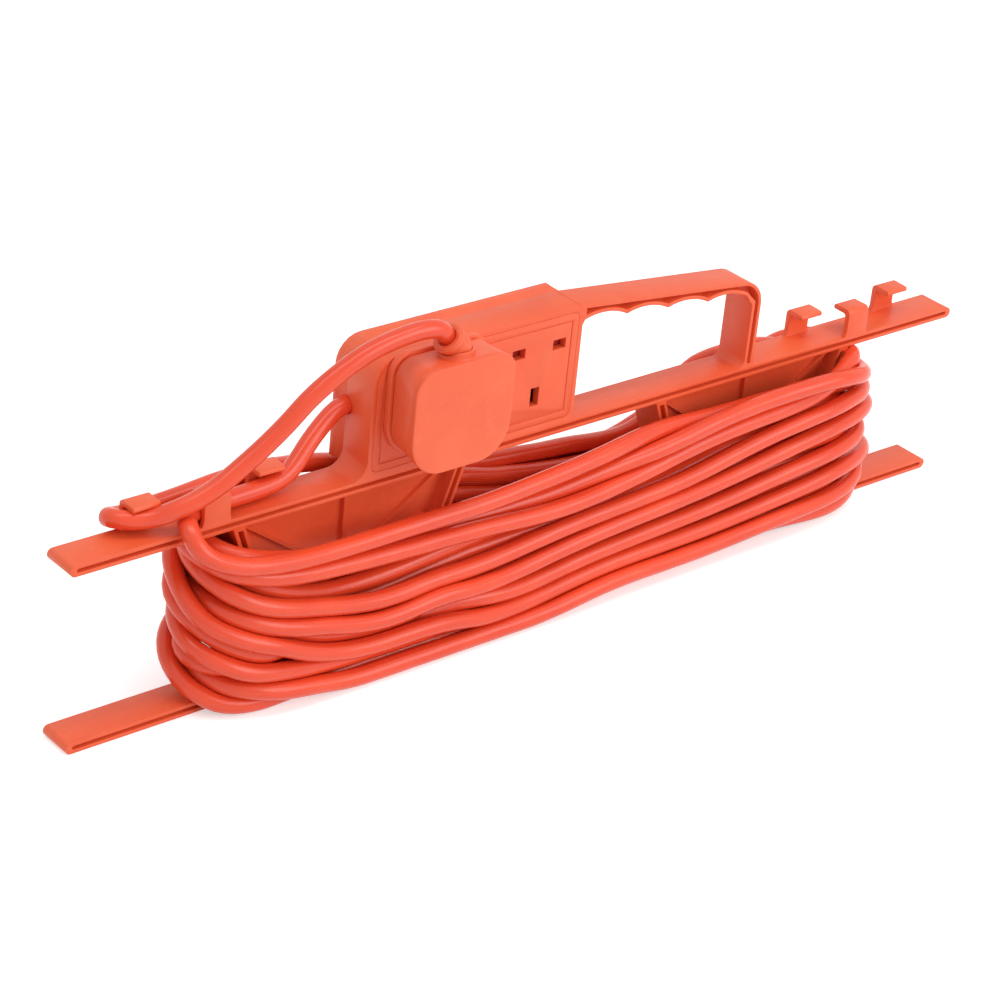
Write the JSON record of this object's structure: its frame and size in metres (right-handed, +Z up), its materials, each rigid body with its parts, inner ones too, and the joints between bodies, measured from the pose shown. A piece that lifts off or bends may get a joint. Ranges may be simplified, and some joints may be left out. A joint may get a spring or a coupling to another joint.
{
  "type": "extension cord",
  "caption": "Extension lead on a flat H-shaped carrier with hand hole and hooks, its cord wound round the legs and its plug parked in one of the socket outlets.",
  "frame": {"origin": "middle of the underside of the bottom bar, halfway between the carrier's front and back faces", "axes": "+X along the bars towards the handle's end, -Y towards the socket front and the plug, +Z up"},
  "size_m": [0.49, 0.0591, 0.159],
  "materials": {
    "moulded_orange": "satin moulded polypropylene",
    "cord_orange": "smooth extruded PVC sheath",
    "white_plastic": "moulded",
    "black_plastic": "moulded",
    "red_plastic": "moulded",
    "brass": "stamped and bright",
    "steel": "zinc plated",
    "ceramic": "glazed ceramic tube",
    "core_brown": "core insulation",
    "core_blue": "core insulation",
    "core_green": "core insulation"
  },
  "bodies": {
    "carrier": {"carrier_frame": "moulded_orange", "socket_front": "moulded_orange", "socket_back": "moulded_orange", "cover_screws": "steel", "shutter_1": "red_plastic", "shutter_spring_1": "steel", "shutter_spring_2": "steel", "line_strip": "brass", "neutral_strip": "brass", "earth_strip": "brass", "terminal_screws": "brass", "cord_grip": "white_plastic", "cord_grip_screws": "steel", "live_core": "core_brown", "neutral_core": "core_blue", "earth_core": "core_green", "socket_lead": "cord_orange", "cord_winding": "cord_orange", "plug_lead": "cord_orange"},
    "plug": {"plug_body": "moulded_orange", "pin_carrier": "black_plastic", "line_pin": "brass", "neutral_pin": "brass", "earth_pin": "brass", "line_sleeve": "black_plastic", "neutral_sleeve": "black_plastic", "fuse_carrier": "red_plastic", "fuse_barrel": "ceramic", "fuse_caps": "steel", "fuse_clips": "brass", "cord_guard": "moulded_orange", "plug_cord_end": "cord_orange", "plug_live_core": "core_brown", "plug_neutral_core": "core_blue", "plug_earth_core": "core_green"},
    "free_shutter": {"shutter_2": "red_plastic"}
  },
  "joints": [
    {"name": "plug_withdraw", "type": "slide", "parent": "carrier", "child": "plug", "axis": [0, -1, 0], "range_m": [0, 0.025]},
    {"name": "free_shutter_lift", "type": "slide", "parent": "carrier", "child": "free_shutter", "axis": [0, 0, 1], "range_m": [0, 0.0052], "stiffness_N_per_m": 200, "springref_m": -0.004, "deforming": ["shutter_spring_2"]}
  ]
}
